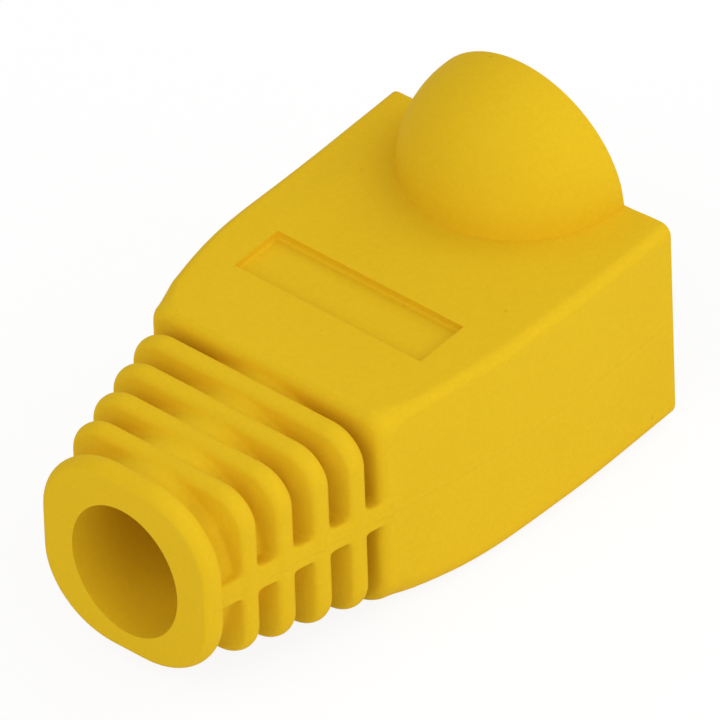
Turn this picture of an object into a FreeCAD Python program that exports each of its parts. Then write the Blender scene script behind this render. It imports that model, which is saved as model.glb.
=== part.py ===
"""Strain relief boot for an 8P8C modular plug, moulded in one piece of soft PVC.

The frame has +X across the boot, +Y from the cable end to the plug end and +Z up
to the latch dome.  The origin is on the cable bore's axis, in the cable end face.
All lengths are millimetres.
"""
import math
import os

import FreeCAD, Part
from FreeCAD import Vector

os.makedirs("parts", exist_ok=True)

# ---------------------------------------------------------------- plug and cable
PLUG_WIDTH = 11.68          # body of a standard 8P8C plug
PLUG_HEIGHT = 6.50
PLUG_CLEARANCE = 0.06       # between the plug and the soft wall, each side
CABLE_BORE_RADIUS = 2.75    # for round cable of up to 5.5 mm

# ---------------------------------------------------------------- building
LAP = 0.5                   # how far joined pieces run into each other
REACH = 1.0                 # how far a cutting piece runs past the surface it cuts

# ---------------------------------------------------------------- body of the boot
TOTAL_LENGTH = 23.65
SIDE_WALL = 1.07
BODY_HALF = PLUG_WIDTH / 2 + PLUG_CLEARANCE + SIDE_WALL
BODY_TOP = 4.49             # above the bore axis
BODY_BOTTOM = 5.11          # below the bore axis
NECK_Y = 8.3                # end wall of the body, behind the last groove
NECK_HALF = 5.64
NECK_END_R = 0.45           # rim of the end wall
UPPER_R = 0.45              # upper long edges of the body
LOWER_R = 0.9               # lower ones
# Stations of the tapered part: distance along Y, half width, upper and lower corner radius.
TAPER = ((NECK_Y + LAP, NECK_HALF, 0.85, 1.9),
         (10.0, 5.95, UPPER_R, 1.3),
         (12.0, 6.35, UPPER_R, LOWER_R),
         (13.3, 6.59, UPPER_R, LOWER_R),
         (14.4, 6.70, UPPER_R, LOWER_R),
         (18.8, BODY_HALF, UPPER_R, LOWER_R))

# ---------------------------------------------------------------- ribbed tail
RIBS = 4
TAIL_HALF = 3.67            # half width of the ribs' outline, carried on to the cable end
TAIL_TOP = 3.88
TAIL_BOTTOM = 3.46
NECK_STEP_TOP = 0.13        # from the body down to the ribs' outline, at the neck
NECK_STEP_BOTTOM = 0.42
RIB_CORNER_R = 1.55
RIB_FIRST = 2.42            # middle of the first rib, from the cable end
RIB_PITCH = 1.63
RIB_LENGTH = 0.86           # at the crest
RIB_FLARE = 0.24            # how much wider its foot is on each side
CREST_DROP = 0.19           # how far each rib's round crest falls to its sides
WEB_THICKNESS = 1.1         # web along each side, across the grooves
WEB_STEP = 0.08             # how far the web lies below the rib crests
TUBE_RADIUS = 3.58          # floor of the grooves, on the cable's axis below
TUBE_RISE = 0.28            # how much higher the axis of its round top lies
END_LENGTH = 0.94           # the larger ring at the cable end
END_HALF = 4.13
END_TOP = 4.46
END_BOTTOM = 4.11
END_CORNER_R = 3.35
END_DROP = 0.26             # how far its crest falls to the end face

# ---------------------------------------------------------------- latch dome
DOME_RADIUS = 4.76
DOME_SINK = 0.39            # dome centre below the top of the body
DOME_BACK = 0.29            # dome centre behind the plug end
DOME_WALL = 0.85

# ---------------------------------------------------------------- label recess
RECESS_HALF = 4.50
RECESS_START = 11.98
RECESS_END = 14.49
RECESS_DEPTH = 0.35

# ---------------------------------------------------------------- inside
SOCKET_DEPTH = 9.0          # how far the plug goes in
FUNNEL_LENGTH = 5.4         # from the socket's end wall to the bore
FUNNEL_HALF = 4.6
FUNNEL_UP = 2.9


def section(y, half, top, bottom, upper, lower):
    """Rounded rectangle in the plane at y, with its corners listed clockwise."""
    edges = []
    points = []
    for sx, z, r in ((1, top, upper), (1, -bottom, lower), (-1, -bottom, lower), (-1, top, upper)):
        k = r * (1 - math.sqrt(0.5))
        sz = 1 if z > 0 else -1
        beside = Vector(sx * half, y, z - sz * r)
        level = Vector(sx * (half - r), y, z)
        middle = Vector(sx * (half - k), y, z - sz * k)
        first, last = (level, beside) if sx == sz else (beside, level)
        points.append((first, middle, last))
    for i in range(4):
        first, middle, last = points[i]
        edges.append(Part.Arc(first, middle, last).toShape())
        edges.append(Part.makeLine(last, points[(i + 1) % 4][0]))
    return Part.Wire(edges)


def slab(outline, length):
    return Part.Face(outline).extrude(Vector(0, length, 0))


def rounded_rim(shape, y, radius):
    """Round the edges that lie in the plane at y."""
    rim = []
    for edge in shape.Edges:
        box = edge.BoundBox
        if abs(box.YMin - y) < 1e-4 and abs(box.YMax - y) < 1e-4:
            rim.append(edge)
    return shape.makeFillet(radius, rim)


def rod(radius, y0, y1):
    return Part.makeCylinder(radius, y1 - y0, Vector(0, y0, 0), Vector(0, 1, 0))


def block(half, y0, y1, z0, z1):
    return Part.makeBox(2 * half, y1 - y0, z1 - z0, Vector(-half, y0, z0))


def between(t, first, last):
    return first + (last - first) * t


def crest(centre, reach, y0, y1, first_drop, flare):
    """Profile from a corner's centre out to the crest, which is an arc from y0 to y1."""
    inward = reach * (-1 / reach.Length)
    points = [centre + Vector(0, y0 - flare, 0)]
    for drop, y in ((first_drop, y0), (0, (y0 + y1) / 2), (CREST_DROP, y1)):
        points.append(centre + reach + inward * drop + Vector(0, y, 0))
    points.append(centre + Vector(0, y1 + flare, 0))
    edges = [Part.makeLine(points[0], points[1]),
             Part.Arc(points[1], points[2], points[3]).toShape(),
             Part.makeLine(points[3], points[4]),
             Part.makeLine(points[4], points[0])]
    return Part.Face(Part.Wire(edges))


def ring(y0, y1, half, top, bottom, corner, first_drop, flare=0):
    """One rib: a rounded rectangle, clockwise from the upper right, with a round crest."""
    x = half - corner
    up = top - corner
    down = bottom - corner
    centres = [Vector(x, 0, up), Vector(x, 0, -down), Vector(-x, 0, -down), Vector(-x, 0, up)]
    outward = [Vector(0, 0, 1), Vector(1, 0, 0), Vector(0, 0, -1), Vector(-1, 0, 0)]
    pieces = []
    for i in range(4):
        profile = crest(centres[i], outward[i] * corner, y0, y1, first_drop, flare)
        pieces.append(profile.revolve(centres[i], Vector(0, 1, 0), 90))
        pieces.append(profile.extrude(centres[i - 1] - centres[i]))
    return block(x, y0 - flare, y1 + flare, -down, up).fuse(pieces).removeSplitter()


def webs():
    y0 = LAP
    y1 = NECK_Y + LAP
    slope = (NECK_HALF - TAIL_HALF) / NECK_Y
    x0 = TAIL_HALF + slope * y0 - WEB_STEP
    x1 = TAIL_HALF + slope * y1 - WEB_STEP
    z = -WEB_THICKNESS / 2
    outline = [Vector(-x0, y0, z), Vector(x0, y0, z), Vector(x1, y1, z), Vector(-x1, y1, z)]
    face = Part.Face(Part.makePolygon(outline + outline[:1]))
    return face.extrude(Vector(0, 0, WEB_THICKNESS))


def tube():
    """Upright oval core that the grooves go down to."""
    y0 = LAP
    y1 = NECK_Y + LAP
    lower = rod(TUBE_RADIUS, y0, y1)
    upper = lower.translated(Vector(0, 0, TUBE_RISE))
    return lower.fuse([upper, block(TUBE_RADIUS, y0, y1, 0, TUBE_RISE)]).removeSplitter()


def tail():
    parts = [ring(0.0, END_LENGTH, END_HALF, END_TOP, END_BOTTOM, END_CORNER_R, END_DROP)]
    for i in range(RIBS):
        y = RIB_FIRST + i * RIB_PITCH
        t = y / NECK_Y
        half = between(t, TAIL_HALF, NECK_HALF)
        top = between(t, TAIL_TOP, BODY_TOP - NECK_STEP_TOP)
        bottom = between(t, TAIL_BOTTOM, BODY_BOTTOM - NECK_STEP_BOTTOM)
        y0 = y - RIB_LENGTH / 2
        parts.append(ring(y0, y0 + RIB_LENGTH, half, top, bottom, RIB_CORNER_R, CREST_DROP, RIB_FLARE))
    parts.append(webs())
    return tube().fuse(parts)


def body():
    outlines = [section(y, half, BODY_TOP, BODY_BOTTOM, upper, lower) for y, half, upper, lower in TAPER]
    taper = Part.makeLoft(outlines, True, True)
    straight = slab(outlines[-1], TOTAL_LENGTH - TAPER[-1][0])
    y, half, upper, lower = TAPER[0]
    neck = slab(section(NECK_Y, half, BODY_TOP, BODY_BOTTOM, upper, lower), y - NECK_Y)
    return rounded_rim(neck, NECK_Y, NECK_END_R).fuse([taper, straight])


def ball(radius):
    """Round end of the latch dome, cut off at the plug end of the boot."""
    centre = Vector(0, TOTAL_LENGTH - DOME_BACK, BODY_TOP - DOME_SINK)
    half = radius + REACH
    room = block(half, centre.y - half, TOTAL_LENGTH, centre.z - half, centre.z + half)
    return Part.makeSphere(radius, centre).common(room)


def outside():
    shape = body().fuse(tail())
    half = DOME_RADIUS + REACH
    above = block(half, TOTAL_LENGTH - 2 * half, TOTAL_LENGTH + REACH, BODY_TOP - LAP, BODY_TOP + half)
    shape = shape.fuse(ball(DOME_RADIUS).common(above))
    floor = BODY_TOP - RECESS_DEPTH
    return shape.cut(block(RECESS_HALF, RECESS_START, RECESS_END, floor, BODY_TOP + REACH))


def inside():
    socket_half = PLUG_WIDTH / 2 + PLUG_CLEARANCE
    socket_up = PLUG_HEIGHT / 2 + PLUG_CLEARANCE
    socket_y = TOTAL_LENGTH - SOCKET_DEPTH
    funnel_y = socket_y - FUNNEL_LENGTH
    socket = block(socket_half, socket_y, TOTAL_LENGTH + REACH, -socket_up, socket_up)
    narrow = []
    wide = []
    for sx, sz in ((1, 1), (1, -1), (-1, -1), (-1, 1)):
        narrow.append(Vector(sx, 0, sz) * CABLE_BORE_RADIUS + Vector(0, funnel_y, 0))
        wide.append(Vector(sx * FUNNEL_HALF, socket_y, sz * FUNNEL_UP))
    funnel = Part.makeLoft([Part.makePolygon(narrow + narrow[:1]),
                            Part.makePolygon(wide + wide[:1])], True, True)
    bore = rod(CABLE_BORE_RADIUS, -REACH, funnel_y + LAP)
    hollow = ball(DOME_RADIUS - DOME_WALL)
    return socket.fuse([funnel, bore, hollow])


boot = outside().cut(inside()).removeSplitter()
print("solids", len(boot.Solids), "valid", boot.isValid(), "volume", round(boot.Volume, 1))
box = boot.BoundBox
print("box", [round(v, 3) for v in (box.XMin, box.XMax, box.YMin, box.YMax, box.ZMin, box.ZMax)])
print("centre of mass", [round(v, 2) for v in boot.Solids[0].CenterOfMass])
boot.Solids[0].exportStep("parts/boot.step")
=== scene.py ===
"""Looks of the strain relief boot: a softly blended skin in place of the CAD solid,
its moulded PVC material, soft studio light, a white floor and the camera."""
import math

import bpy
import numpy as np
from mathutils import Matrix, Vector
from mathutils.bvhtree import BVHTree


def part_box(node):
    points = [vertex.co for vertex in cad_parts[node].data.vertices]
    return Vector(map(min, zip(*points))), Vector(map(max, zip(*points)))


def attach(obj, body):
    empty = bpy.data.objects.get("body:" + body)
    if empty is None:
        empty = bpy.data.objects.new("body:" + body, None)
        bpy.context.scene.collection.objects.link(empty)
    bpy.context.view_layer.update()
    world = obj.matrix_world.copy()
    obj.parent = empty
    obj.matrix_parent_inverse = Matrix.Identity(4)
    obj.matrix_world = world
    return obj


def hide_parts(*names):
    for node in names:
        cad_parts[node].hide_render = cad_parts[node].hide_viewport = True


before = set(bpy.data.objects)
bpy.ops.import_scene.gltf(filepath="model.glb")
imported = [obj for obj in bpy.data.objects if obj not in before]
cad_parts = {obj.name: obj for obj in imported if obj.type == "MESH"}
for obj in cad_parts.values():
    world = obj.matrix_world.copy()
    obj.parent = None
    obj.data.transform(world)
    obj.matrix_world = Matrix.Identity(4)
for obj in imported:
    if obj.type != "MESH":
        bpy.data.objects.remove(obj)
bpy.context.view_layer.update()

MM = 0.001
VOXEL = 0.08 * MM
FACES = 95000               # half the triangles left after thinning
SHARP = math.radians(38)    # outer edges turning more than this stay crisp

low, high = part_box("boot")
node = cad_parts["boot"]
NECK_WALL = 8.3 * MM        # end wall of the body, behind the last groove
NECK = 8.6 * MM             # what lies before this is blended as part of the ribbed tail
BODY_TOP = 4.49 * MM        # top face above the bore's axis
FOOT_Y = 17.5 * MM          # the dome's foot lies past this
RECESS_FLOOR = 0.5 * MM     # the recess lies within this below the top face,
RECESS_END = 15 * MM        # and before this


# ---------------------------------------------------------------- skin of the boot
def mesh_arrays(mesh):
    """Points, edges and quads of a mesh as arrays."""
    points = np.empty(len(mesh.vertices) * 3)
    mesh.vertices.foreach_get("co", points)
    edges = np.empty(len(mesh.edges) * 2, dtype=np.int32)
    mesh.edges.foreach_get("vertices", edges)
    corners = np.empty(len(mesh.loops), dtype=np.int32)
    mesh.loops.foreach_get("vertex_index", corners)
    return points.reshape(-1, 3), edges.reshape(-1, 2), corners.reshape(-1, 4)


def gather(index, values, count):
    """Sum of the rows of values that belong to each of count points."""
    return np.stack([np.bincount(index, values[:, k], count) for k in range(3)], axis=1)


def to_middle(points, edges):
    """Way from each point to the middle of its neighbours."""
    a, b = edges[:, 0], edges[:, 1]
    total = gather(a, points[b], len(points)) + gather(b, points[a], len(points))
    near = np.bincount(edges.ravel(), minlength=len(points))[:, None]
    return total / near - points


def outward(points, quads):
    """Unit normal at each point."""
    p = points[quads]
    face = np.cross(p[:, 2] - p[:, 0], p[:, 3] - p[:, 1])
    total = gather(quads.ravel(), np.repeat(face, 4, axis=0), len(points))
    return total / np.maximum(np.linalg.norm(total, axis=1, keepdims=True), 1e-30)


def smoothstep(x, first, last):
    t = np.clip((x - first) / (last - first), 0.0, 1.0)
    return t * t * (3 - 2 * t)


def remeshed(source):
    """A copy of the CAD solid in small even quads."""
    skin = bpy.data.objects.new("boot_skin", source.data.copy())
    bpy.context.scene.collection.objects.link(skin)
    remesh = skin.modifiers.new("Remesh", "REMESH")
    remesh.mode = "VOXEL"
    remesh.voxel_size = VOXEL
    keep_evaluated(skin)
    return skin


def keep_evaluated(thing):
    """Make what the modifiers give the object's own mesh."""
    bpy.context.view_layer.update()
    dg = bpy.context.evaluated_depsgraph_get()
    mesh = bpy.data.meshes.new_from_object(thing.evaluated_get(dg))
    thing.modifiers.clear()
    thing.data = mesh


def onto_edges(points, quads, source):
    """Points near an outer edge of the solid, moved onto that edge, and which they are.

    Each quad takes the plane of the solid next to it, and a point whose quads lie on
    planes that differ goes to where those planes meet.  The crease at the dome's foot
    counts as such an edge.  Points on the body's flat walls are set on the solid."""
    tree = BVHTree.FromPolygons([v.co for v in source.data.vertices],
                                [p.vertices for p in source.data.polygons])
    centres = points[quads].mean(axis=1)
    place = np.empty_like(centres)
    normal = np.empty_like(centres)
    for i, centre in enumerate(centres):
        place[i], normal[i] = tree.find_nearest(centre)[:2]
    flat = quads.ravel()
    count = len(points)
    number = np.bincount(flat, minlength=count)[:, None]
    each = np.repeat(normal, 4, axis=0)
    spot = np.repeat(place, 4, axis=0)
    mean = gather(flat, each, count) / number
    middle = gather(flat, spot, count) / number
    turn = np.linalg.norm(mean, axis=1)
    hump = np.einsum("ij,ij->i", spot - middle[flat], each - mean[flat])
    hump = np.bincount(flat, hump, count)
    x, y, z = points.T
    foot = (y > FOOT_Y) & (np.abs(z - BODY_TOP) < 2 * VOXEL)
    crisp = (turn < math.cos(SHARP / 2)) & ((hump > 0) | foot)
    along = np.einsum("ij,ij->i", each, spot - points[flat])
    matrix = np.zeros((count, 3, 3))
    for r in range(3):
        for c in range(3):
            matrix[:, r, c] = np.bincount(flat, each[:, r] * each[:, c], count)
    matrix += np.eye(3) * 0.02
    right = gather(flat, each * along[:, None], count)
    move = np.linalg.solve(matrix[crisp], right[crisp][:, :, None])[:, :, 0]
    far = np.linalg.norm(move, axis=1, keepdims=True)
    move *= np.minimum(1.0, 1.2 * VOXEL / np.maximum(far, 1e-12))
    moved = points.copy()
    walls = ~crisp & (y > NECK) & (z < BODY_TOP + VOXEL)
    level = np.bincount(flat, along, count)[:, None] / number * mean
    moved[walls] += level[walls]
    moved[crisp] += move
    return moved, crisp


def blend(points, edges, quads, weight, rounds, side):
    """Round off inner corners (side 1) or outer ones (side -1) and leave the others."""
    for i in range(rounds):
        way = to_middle(points, edges)
        normal = outward(points, quads)
        lift = np.einsum("ij,ij->i", way, normal) * side
        points = points + 0.6 * (weight * (lift > 0))[:, None] * way
    return points


def even_out(points, edges, weight, rounds):
    """Smooth the surface without shrinking it."""
    for i in range(rounds):
        for amount in (0.55, -0.57):
            points = points + amount * weight[:, None] * to_middle(points, edges)
    return points


# ---------------------------------------------------------------- how the moulded part lies
BORE_R, TUBE_R = 2.75 * MM, 3.58 * MM
RIB_HALF = (3.67 * MM, 5.64 * MM)   # outline of the ribs at the cable end and at the neck
RIB_TOP = (3.88 * MM, 4.36 * MM)
RIB_BOTTOM = (3.46 * MM, 4.69 * MM)
RIB_CORNER = 1.55 * MM
DOME_R = 4.76 * MM
DOME_Y = high.y - 0.29 * MM
# Stations of the body's taper, with its half width and the radius of its lower edges.
TAPER_Y = np.array((8.8, 10.0, 12.0, 13.3, 14.4, 18.8)) * MM
TAPER_HALF = np.array((5.64, 5.95, 6.35, 6.59, 6.70, 6.97)) * MM
TAPER_CORNER = np.array((1.9, 1.3, 0.9, 0.9, 0.9, 0.9)) * MM
FILL_FROM = 0.7 * MM                # depth from which the grooves are fuller
FILL_SHARE = 0.42                   # and how much of the depth past it they lose
BORE_NARROWED, BORE_RAISED = -0.075, 0.09
LEAN_IN, LEAN_DOWN = 0.40, 0.23     # mm, the left upper edge at the plug end
FOOT_DIP = 0.12                     # mm, the top face round the dome
FOOT_REACH = 1.1 * MM


def along_tail(y, ends):
    return ends[0] + (ends[1] - ends[0]) * y / NECK_WALL


def evened(y, values, reach):
    """What the straight runs between the stations gain when they are evened over reach."""
    steps = np.linspace(-2.4, 2.4, 17)
    share = np.exp(-steps ** 2 / 2)
    even = sum(s * np.interp(y + t * reach, TAPER_Y, values) for s, t in zip(share, steps))
    return even / share.sum() - np.interp(y, TAPER_Y, values)


def tapered(points):
    """The body's sides and lower edges curving along the taper, without kinks at its stations."""
    x, y, z = points.T
    reach = (0.45 + 0.55 * smoothstep(y, 9.0 * MM, 11.5 * MM)) * MM
    half = np.interp(y, TAPER_Y, TAPER_HALF)
    corner = np.interp(y, TAPER_Y, TAPER_CORNER)
    side = smoothstep(np.abs(x), half - 0.8 * MM, half - 0.4 * MM) * (y > NECK_WALL)
    u = np.abs(x) - (half - corner)
    v = low.z + corner - z
    out = np.hypot(u, v)
    edge = (u > 0) & (v > 0) & (np.abs(out - corner) < 0.15 * MM) & (y > NECK_WALL)
    out = np.maximum(out, 1e-9)
    pull = edge * evened(y, TAPER_CORNER, reach) * (1 - (u + v) / out)
    moved = points.copy()
    moved[:, 0] += np.sign(x) * (side * evened(y, TAPER_HALF, reach) + pull * u / out)
    moved[:, 2] -= pull * v / out
    return moved


def filled(points, begin, share):
    """Grooves made fuller where they lie deeper than begin under the ribs' outline."""
    x, y, z = points.T
    half, top, bottom = (along_tail(y, ends) for ends in (RIB_HALF, RIB_TOP, RIB_BOTTOM))
    middle = (top - bottom) / 2
    qx = np.abs(x) - (half - RIB_CORNER)
    qz = np.abs(z - middle) - ((top + bottom) / 2 - RIB_CORNER)
    corner = np.hypot(np.maximum(qx, 0), np.maximum(qz, 0))
    depth = RIB_CORNER - corner - np.minimum(np.maximum(qx, qz), 0)
    rise = share * np.maximum(depth - begin, 0)
    rise *= smoothstep(np.hypot(x, z), BORE_R * 1.1, BORE_R * 1.2) * (y < NECK)
    moved = points.copy()
    moved[:, 0] += rise * np.sign(x) * np.maximum(qx, 0) / np.maximum(corner, 1e-9)
    moved[:, 2] += rise * np.sign(z - middle) * np.maximum(qz, 0) / np.maximum(corner, 1e-9)
    return moved


def pressed(points):
    """The soft wall as it rests: oval bore, left upper edge drawn in, sunk dome foot."""
    x, y, z = points.T
    around = np.hypot(x, z)
    mouth = (y < NECK) * (1 - smoothstep(around, BORE_R * 1.04, TUBE_R * 0.97))
    lean = smoothstep(-x, 4.2 * MM, 0.96 * high.x) * smoothstep(z, 1.5 * MM, BODY_TOP)
    lean *= smoothstep(y, 11.0 * MM, 20.0 * MM)
    foot = np.hypot(x, y - DOME_Y) - DOME_R
    sunk = np.exp(-(foot / FOOT_REACH) ** 2) * smoothstep(-np.abs(z - BODY_TOP), -0.8 * MM, -0.2 * MM)
    moved = points.copy()
    moved[:, 0] += mouth * x * BORE_NARROWED + lean * LEAN_IN * MM
    moved[:, 2] += mouth * z * BORE_RAISED - lean * LEAN_DOWN * MM - sunk * FOOT_DIP * MM
    return moved


skin = remeshed(node)
points, edges, quads = mesh_arrays(skin.data)
points, crisp = onto_edges(points, quads, node)
ribbed = points[:, 1] < NECK
around = np.hypot(points[:, 0], points[:, 2])
crisp &= ~(ribbed & (around > (BORE_R + TUBE_R) / 2))
loose = 1.0 - crisp
recess = (points[:, 2] > BODY_TOP - RECESS_FLOOR) & (points[:, 1] < RECESS_END)
crisp &= ~recess
points = blend(points, edges, quads, loose * ribbed, 9, 1)
points = blend(points, edges, quads, loose * ribbed, 4, -1)
points = even_out(points, edges, loose, 5)
points = pressed(filled(tapered(points), FILL_FROM, FILL_SHARE))
points = np.clip(points, low, high)
skin.data.vertices.foreach_set("co", points.ravel())
skin.data.update()

thin = skin.modifiers.new("Decimate", "DECIMATE")
thin.ratio = min(1.0, FACES / len(quads))
keep_evaluated(skin)
for polygon in skin.data.polygons:
    polygon.use_smooth = True
skin.data.set_sharp_from_angle(angle=SHARP)
print("skin", len(skin.data.vertices), "points", len(skin.data.polygons), "faces")

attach(skin, "root")
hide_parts("boot")


# ---------------------------------------------------------------- material
class Nodes:
    """Short way to build a node tree."""

    def __init__(self, tree):
        self.tree = tree
        tree.nodes.clear()

    def add(self, kind, inputs=None, **settings):
        node = self.tree.nodes.new(kind)
        for name, value in settings.items():
            setattr(node, name, value)
        for name, value in (inputs or {}).items():
            socket = node.inputs[name]
            if isinstance(value, bpy.types.NodeSocket):
                self.tree.links.new(value, socket)
            else:
                socket.default_value = value
        return node

    def math(self, operation, *values):
        return self.add("ShaderNodeMath", dict(enumerate(values)), operation=operation).outputs[0]

    def spread(self, value, first, last, start=0.0, end=1.0, **settings):
        """The value's run from first to last, taken to the run from start to end."""
        runs = {"Value": value, "From Min": first, "From Max": last, "To Min": start, "To Max": end}
        return self.add("ShaderNodeMapRange", runs, **settings).outputs[0]

    def tinted(self, colour, amount):
        both = {0: colour, 1: amount}
        return self.add("ShaderNodeVectorMath", both, operation="MULTIPLY").outputs[0]

    def noise(self, place, scale, detail, roughness=0.5):
        settings = {"Vector": place, "Scale": scale, "Detail": detail, "Roughness": roughness}
        return self.add("ShaderNodeTexNoise", settings).outputs["Fac"]

    def bump(self, height, strength, distance, normal=None):
        settings = {"Height": height, "Strength": strength, "Distance": distance}
        if normal is not None:
            settings["Normal"] = normal
        return self.add("ShaderNodeBump", settings).outputs[0]


def seam_height(n, place):
    """Faint ridge outside where the two mould halves meet, in the plane of the bore's axis."""
    axes = n.add("ShaderNodeSeparateXYZ", {"Vector": place})
    across, along, up = axes.outputs
    shift = n.math("MULTIPLY", n.noise(place, 260.0, 2.0), 0.16 * MM)
    away = n.math("ABSOLUTE", n.math("ADD", up, shift))
    ridge = n.spread(away, 0.0, 0.09 * MM, 1.0, 0.0, interpolation_type="SMOOTHSTEP")
    behind = n.spread(along, 0.2 * MM, 0.5 * MM)
    before = n.spread(along, 23.6 * MM, 23.3 * MM)
    inner = n.math("MINIMUM", n.math("MULTIPLY_ADD", along, 0.2, 3.1 * MM), 6.2 * MM)
    outside = n.math("GREATER_THAN", n.math("ABSOLUTE", across), inner)
    seam = ridge
    for part in (behind, before, outside):
        seam = n.math("MULTIPLY", seam, part)
    return seam


def soft_pvc():
    """Yellow soft PVC: cloudy tint, fine grain, a few dust specks and the mould's parting line."""
    material = bpy.data.materials.new("soft_pvc_yellow")
    material.use_nodes = True
    n = Nodes(material.node_tree)
    place = n.add("ShaderNodeTexCoord").outputs["Object"]
    cloud = n.noise(place, 170.0, 3.0)
    fine = n.noise(place, 5200.0, 4.0, 0.7)
    tint = n.add("ShaderNodeMix", {"Factor": cloud}, data_type="RGBA")
    tint.inputs[6].default_value = (0.775, 0.487, 0.0115, 1)
    tint.inputs[7].default_value = (0.815, 0.528, 0.0152, 1)
    shade = n.tinted(tint.outputs[2], n.spread(fine, 0.3, 0.7, 0.965, 1.03))
    cells = n.add("ShaderNodeTexVoronoi", {"Vector": place, "Scale": 420.0, "Randomness": 1.0})
    shade = n.tinted(shade, n.spread(cells.outputs["Distance"], 0.022, 0.045, 0.87, 1.0))
    grain = n.bump(fine, 0.10, 0.02 * MM)
    shader = n.add("ShaderNodeBsdfPrincipled", {
        "Base Color": shade,
        "Roughness": n.spread(cloud, 0.0, 1.0, 0.62, 0.74),
        "Normal": n.bump(seam_height(n, place), 0.5, 0.03 * MM, grain),
        "Specular IOR Level": 0.05,
        "IOR": 1.5,
    })
    n.add("ShaderNodeOutputMaterial", {"Surface": shader.outputs[0]})
    return material


pvc = soft_pvc()
for thing in (skin, node):
    thing.data.materials.clear()
    thing.data.materials.append(pvc)


# ---------------------------------------------------------------- floor and light
def shows_white(n):
    """1 for the rays that see the background: straight from the camera, mirrored or through glass."""
    rays = n.add("ShaderNodeLightPath").outputs
    seen = n.math("MAXIMUM", rays["Is Camera Ray"], rays["Is Glossy Ray"])
    return n.math("MAXIMUM", seen, rays["Is Transmission Ray"])


def white_floor():
    material = bpy.data.materials.new("floor_white")
    material.use_nodes = True
    n = Nodes(material.node_tree)
    paper = n.add("ShaderNodeBsdfDiffuse", {"Color": (0.86, 0.86, 0.86, 1)})
    glow = n.add("ShaderNodeEmission", {"Color": (1, 1, 1, 1), "Strength": 1.04})
    mix = {"Fac": n.math("MULTIPLY", shows_white(n), 0.85), 1: paper.outputs[0], 2: glow.outputs[0]}
    both = n.add("ShaderNodeMixShader", mix)
    n.add("ShaderNodeOutputMaterial", {"Surface": both.outputs[0]})
    return material


bpy.ops.mesh.primitive_plane_add(size=3.0, location=(0, 0, low.z - 0.01 * MM))
floor = bpy.context.object
floor.name = "floor"
floor.data.materials.append(white_floor())

world = bpy.data.worlds.new("studio")
bpy.context.scene.world = world
world.use_nodes = True
n = Nodes(world.node_tree)
white = n.add("ShaderNodeBackground", {"Color": (1, 1, 1, 1), "Strength": 1.0})
air = n.add("ShaderNodeBackground", {"Color": (1, 1, 1, 1), "Strength": 0.53})
mixed = n.add("ShaderNodeMixShader", {"Fac": shows_white(n), 1: air.outputs[0], 2: white.outputs[0]})
n.add("ShaderNodeOutputWorld", {"Surface": mixed.outputs[0]})

centre = (low + high) / 2


LAMP_DISTANCE, LAMP_SIZE = 0.30, 0.26


def softbox(name, direction, power):
    lamp = bpy.data.lights.new(name, "AREA")
    lamp.shape = "SQUARE"
    lamp.size = LAMP_SIZE
    lamp.energy = power
    lamp.color = (1.0, 1.0, 1.0)
    box = bpy.data.objects.new(name, lamp)
    bpy.context.scene.collection.objects.link(box)
    toward = Vector(direction).normalized()
    box.location = centre + toward * LAMP_DISTANCE
    box.rotation_mode = "QUATERNION"
    box.rotation_quaternion = toward.to_track_quat("Z", "Y")


softbox("key", (1.0, -0.1, 0.35), 0.29)
softbox("front", (0.0, -1.0, 0.9), 0.26)
softbox("back", (0.4, 1.0, 0.8), 0.26)

# ---------------------------------------------------------------- camera
AZIMUTH, ELEVATION, ROLL = 40.95, 40.79, 2.097
AIM = Vector((0.0016, 13.7335, 0.9909)) * MM
DISTANCE, LENS = 1.0, 1340.3

camera_data = bpy.data.cameras.new("camera")
camera_data.sensor_width = 36.0
camera_data.lens = LENS
camera_data.clip_start = 0.01
camera_data.clip_end = 10.0
camera = bpy.data.objects.new("camera", camera_data)
bpy.context.scene.collection.objects.link(camera)
a, e = math.radians(AZIMUTH), math.radians(ELEVATION)
back = Vector((math.sin(a) * math.cos(e), -math.cos(a) * math.cos(e), math.sin(e)))
turned = back.to_track_quat("Z", "Y").to_matrix() @ Matrix.Rotation(-math.radians(ROLL), 3, "Z")
camera.matrix_world = Matrix.Translation(AIM + back * DISTANCE) @ turned.to_4x4()
bpy.context.scene.camera = camera

bpy.context.scene.view_settings.view_transform = "Standard"
